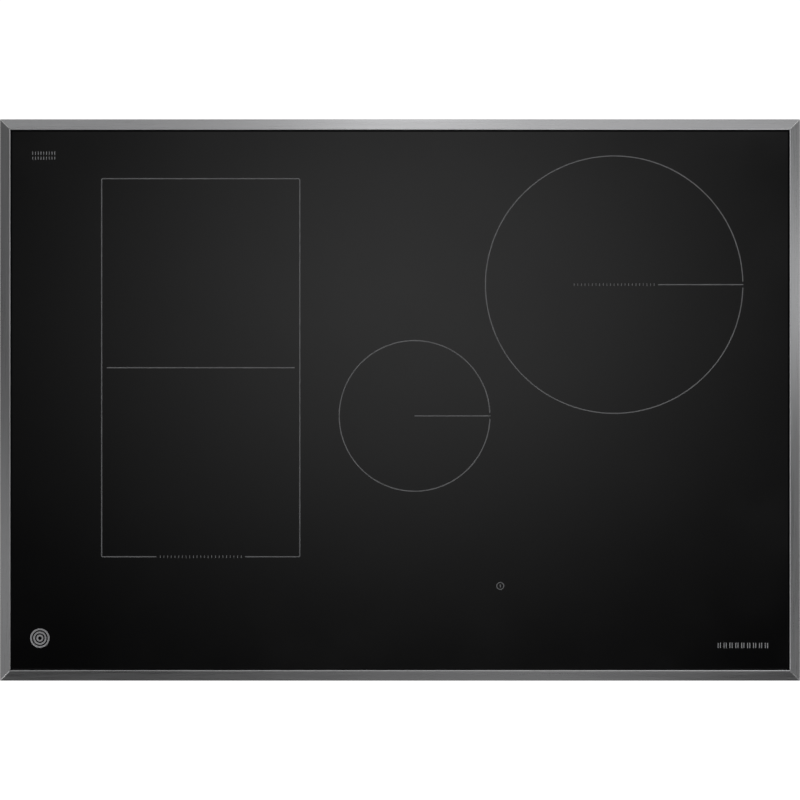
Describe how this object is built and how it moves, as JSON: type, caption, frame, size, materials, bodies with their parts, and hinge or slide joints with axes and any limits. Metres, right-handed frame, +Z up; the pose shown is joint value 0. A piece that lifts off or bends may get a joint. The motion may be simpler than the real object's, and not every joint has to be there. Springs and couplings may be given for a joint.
{
  "type": "electric induction cooktop",
  "caption": "Drop-in induction cooktop: black glass panel in a mitred steel frame, over a vented steel burner box with sprung coils, fans and hold-down clamps.",
  "frame": {"origin": "under the middle of the burner box, on the plane it stands on", "axes": "+X to the user's right, +Y to the back wall, +Z up through the glass"},
  "size_m": [0.781, 0.548, 0.1048],
  "materials": {
    "black_glass": "polished black glass-ceramic with a faint grey print",
    "brushed_steel": "stainless steel brushed along each strip",
    "silicone": "black silicone",
    "foam": "black closed-cell foam tape",
    "galvanised_steel": "galvanised sheet with a fine spangle",
    "pressed_steel": "zinc-plated pressed steel",
    "zinc_screws": "bright zinc plate",
    "aluminium_sheet": "mill-finished aluminium",
    "white_plastic": "glass-filled moulding, fine texture",
    "black_plastic": "black moulded plastic",
    "fan_plastic": "dark grey moulded plastic",
    "circuit_board": "green solder mask over glass fibre",
    "capacitor_case": "yellow moulded case",
    "copper_wire": "enamelled stranded copper",
    "ferrite": "fired dark grey ferrite",
    "mica": "pressed mica sheet",
    "sensor_boot": "pale silicone",
    "spring_steel": "bright drawn spring wire",
    "terminal_plastic": "cream moulded plastic",
    "cast_zinc": "die-cast zinc, lightly tumbled",
    "clamp_pad": "black moulded pad",
    "wire_cover": "pale silicone wire cover",
    "print": "fired grey screen print on the glass"
  },
  "bodies": {
    "root": {"glass_top": "black_glass", "trim_front": "brushed_steel", "trim_rear": "brushed_steel", "trim_left": "brushed_steel", "trim_right": "brushed_steel", "glass_bond": "silicone", "worktop_gasket": "foam", "support_frame": "galvanised_steel", "burner_box": "galvanised_steel", "conduit_pocket": "galvanised_steel", "vent_grilles": "pressed_steel", "m4_screws": "zinc_screws", "coil_deck": "aluminium_sheet", "deck_posts": "pressed_steel", "springs_flex_front": "spring_steel", "springs_flex_rear": "spring_steel", "springs_large": "spring_steel", "springs_small": "spring_steel", "electronics_tray": "white_plastic", "inverter_boards": "circuit_board", "filter_board": "circuit_board", "heat_sinks": "aluminium_sheet", "power_transistors": "black_plastic", "capacitors": "capacitor_case", "chokes": "copper_wire", "fan_housings": "black_plastic", "touch_board": "circuit_board", "touch_carrier": "white_plastic", "touch_springs": "spring_steel", "terminal_block": "terminal_plastic", "terminal_cover": "galvanised_steel", "cable_gland": "cast_zinc", "clamp_brackets": "galvanised_steel", "wiring_harness": "wire_cover"},
    "coil_flex_front": {"coil_base_flex_front": "aluminium_sheet", "ferrites_flex_front": "ferrite", "winding_flex_front": "copper_wire", "mica_flex_front": "mica", "sensor_flex_front": "sensor_boot"},
    "coil_flex_rear": {"coil_base_flex_rear": "aluminium_sheet", "ferrites_flex_rear": "ferrite", "winding_flex_rear": "copper_wire", "mica_flex_rear": "mica", "sensor_flex_rear": "sensor_boot"},
    "coil_large": {"coil_base_large": "aluminium_sheet", "ferrites_large": "ferrite", "winding_large": "copper_wire", "mica_large": "mica", "sensor_large": "sensor_boot"},
    "coil_small": {"coil_base_small": "aluminium_sheet", "ferrites_small": "ferrite", "winding_small": "copper_wire", "mica_small": "mica", "sensor_small": "sensor_boot"},
    "fan_left": {"fan_rotor_left": "fan_plastic"},
    "foot_left": {"clamp_foot_left": "clamp_pad"},
    "jack_left": {"clamp_screw_left": "zinc_screws"},
    "fan_right": {"fan_rotor_right": "fan_plastic"},
    "foot_right": {"clamp_foot_right": "clamp_pad"},
    "jack_right": {"clamp_screw_right": "zinc_screws"}
  },
  "joints": [
    {"name": "coil_flex_front_press", "type": "slide", "parent": "root", "child": "coil_flex_front", "axis": [0, 0, 1], "range_m": [-0.003, 0], "stiffness_N_per_m": 4000, "springref_m": 0.01, "deforming": ["springs_flex_front"]},
    {"name": "coil_flex_rear_press", "type": "slide", "parent": "root", "child": "coil_flex_rear", "axis": [0, 0, 1], "range_m": [-0.003, 0], "stiffness_N_per_m": 4000, "springref_m": 0.01, "deforming": ["springs_flex_rear"]},
    {"name": "coil_large_press", "type": "slide", "parent": "root", "child": "coil_large", "axis": [0, 0, 1], "range_m": [-0.003, 0], "stiffness_N_per_m": 4000, "springref_m": 0.01, "deforming": ["springs_large"]},
    {"name": "coil_small_press", "type": "slide", "parent": "root", "child": "coil_small", "axis": [0, 0, 1], "range_m": [-0.003, 0], "stiffness_N_per_m": 4000, "springref_m": 0.01, "deforming": ["springs_small"]},
    {"name": "fan_left_spin", "type": "hinge", "parent": "root", "child": "fan_left", "pos_m": [-0.255, 0.15, 0.02], "axis": [0, 0, 1], "continuous": true},
    {"name": "clamp_left_lift", "type": "slide", "parent": "root", "child": "foot_left", "axis": [0, 0, 1], "range_m": [0, 0.025]},
    {"name": "clamp_left_screw", "type": "hinge", "parent": "foot_left", "child": "jack_left", "pos_m": [-0.38, 0, 0.03], "axis": [0, 0, 1], "range_deg": [0, 9000]},
    {"name": "fan_right_spin", "type": "hinge", "parent": "root", "child": "fan_right", "pos_m": [0.255, 0.15, 0.02], "axis": [0, 0, 1], "continuous": true},
    {"name": "clamp_right_lift", "type": "slide", "parent": "root", "child": "foot_right", "axis": [0, 0, 1], "range_m": [0, 0.025]},
    {"name": "clamp_right_screw", "type": "hinge", "parent": "foot_right", "child": "jack_right", "pos_m": [0.38, 0, 0.03], "axis": [0, 0, 1], "range_deg": [0, 9000]}
  ],
  "couplings": [
    {"joint": "clamp_left_lift", "follows": "clamp_left_screw", "m_per_rad": 0.00015915},
    {"joint": "clamp_right_lift", "follows": "clamp_right_screw", "m_per_rad": 0.00015915}
  ]
}
